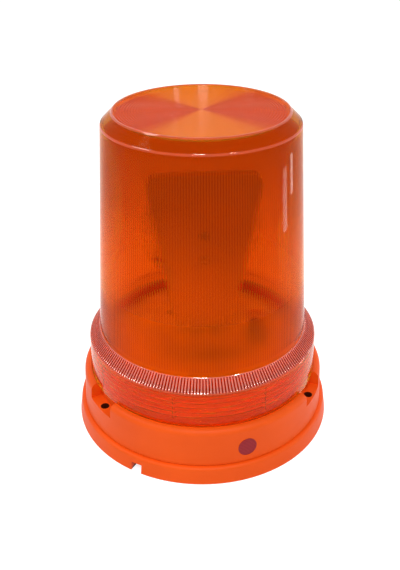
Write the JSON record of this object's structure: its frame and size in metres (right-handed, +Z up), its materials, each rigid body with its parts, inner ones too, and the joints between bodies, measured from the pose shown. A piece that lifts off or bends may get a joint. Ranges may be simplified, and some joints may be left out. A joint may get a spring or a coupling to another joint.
{
  "type": "rotating beacon",
  "caption": "Rotating warning beacon: tall tapered amber lens that unscrews from a round orange base with three fixing pockets, turning mirror round a fixed lamp inside.",
  "frame": {"origin": "centre of the foot ring's underside", "axes": "+Z up along the lamp and rotor axis; -Y is the front, midway between the two front fixing pockets"},
  "size_m": [0.16, 0.16, 0.2],
  "materials": {
    "housing_orange": "satin moulded ABS",
    "lens_amber": "clear amber polycarbonate",
    "sensor_purple": "tinted clear window",
    "rubber_black": "moulded rubber",
    "seal_grey": "soft gasket",
    "screw_steel": "zinc plated",
    "plate_steel": "galvanised sheet",
    "chrome_metal": "bright plated",
    "mirror_metal": "vacuum-coated mirror",
    "brass_metal": "turned brass",
    "motor_can": "drawn steel can",
    "black_plastic": "moulded",
    "gear_white": "acetal",
    "carrier_grey": "moulded nylon",
    "pinion_brass": "cut brass",
    "bulb_clear": "clear bulb glass",
    "tungsten": "drawn wire",
    "board_green": "solder-masked laminate",
    "relay_blue": "moulded case",
    "capacitor_black": "sleeved can",
    "terminal_green": "moulded",
    "insulator_brown": "phenolic",
    "lead_red": "insulated wire",
    "lead_black": "insulated wire"
  },
  "bodies": {
    "root": {"base_housing": "housing_orange", "base_plate": "housing_orange", "base_screws": "screw_steel", "base_seal": "seal_grey", "board_capacitor": "capacitor_black", "board_relay": "relay_blue", "board_screws": "screw_steel", "bulb_cap": "brass_metal", "bulb_contacts": "chrome_metal", "bulb_filament": "tungsten", "bulb_glass": "bulb_clear", "bulb_pins": "brass_metal", "bulb_stem": "bulb_clear", "cable_grommet": "rubber_black", "chassis_plate": "plate_steel", "chassis_screws": "screw_steel", "control_board": "board_green", "foot_gasket": "rubber_black", "gearbox_case": "black_plastic", "holder_contacts": "brass_metal", "holder_insulator": "insulator_brown", "lamp_holder": "chrome_metal", "lamp_leads": "lead_red", "lamp_post": "chrome_metal", "light_sensor": "black_plastic", "motor_body": "motor_can", "motor_cap": "black_plastic", "motor_leads": "lead_black", "motor_screws": "screw_steel", "motor_terminals": "brass_metal", "post_nut": "screw_steel", "retaining_clip": "screw_steel", "sensor_window": "sensor_purple", "terminal_block": "terminal_green", "terminal_screws": "screw_steel", "thrust_washer": "screw_steel"},
    "rotor": {"drive_gear": "gear_white", "rotor_bush": "brass_metal", "reflector": "mirror_metal", "reflector_bracket": "carrier_grey", "reflector_screws": "screw_steel", "bracket_screws": "screw_steel"},
    "drive_shaft": {"motor_shaft": "chrome_metal", "motor_pinion": "pinion_brass"},
    "seal": {"lens_seal": "seal_grey"},
    "lens": {"lens": "lens_amber"}
  },
  "joints": [
    {"name": "rotor_spin", "type": "hinge", "parent": "root", "child": "rotor", "pos_m": [0, 0, 0.0585], "axis": [0, 0, 1], "continuous": true},
    {"name": "pinion_spin", "type": "hinge", "parent": "root", "child": "drive_shaft", "pos_m": [0.036, 0, 0.0575], "axis": [0, 0, 1], "continuous": true},
    {"name": "lens_lift", "type": "slide", "parent": "root", "child": "seal", "axis": [0, 0, 1], "range_m": [0, 0.0097]},
    {"name": "lens_turn", "type": "hinge", "parent": "seal", "child": "lens", "pos_m": [0, 0, 0.045], "axis": [0, 0, 1], "range_deg": [0, 1080]}
  ],
  "couplings": [
    {"joint": "pinion_spin", "follows": "rotor_spin", "ratio": -5},
    {"joint": "lens_lift", "follows": "lens_turn", "m_per_rad": 0.0005093}
  ]
}
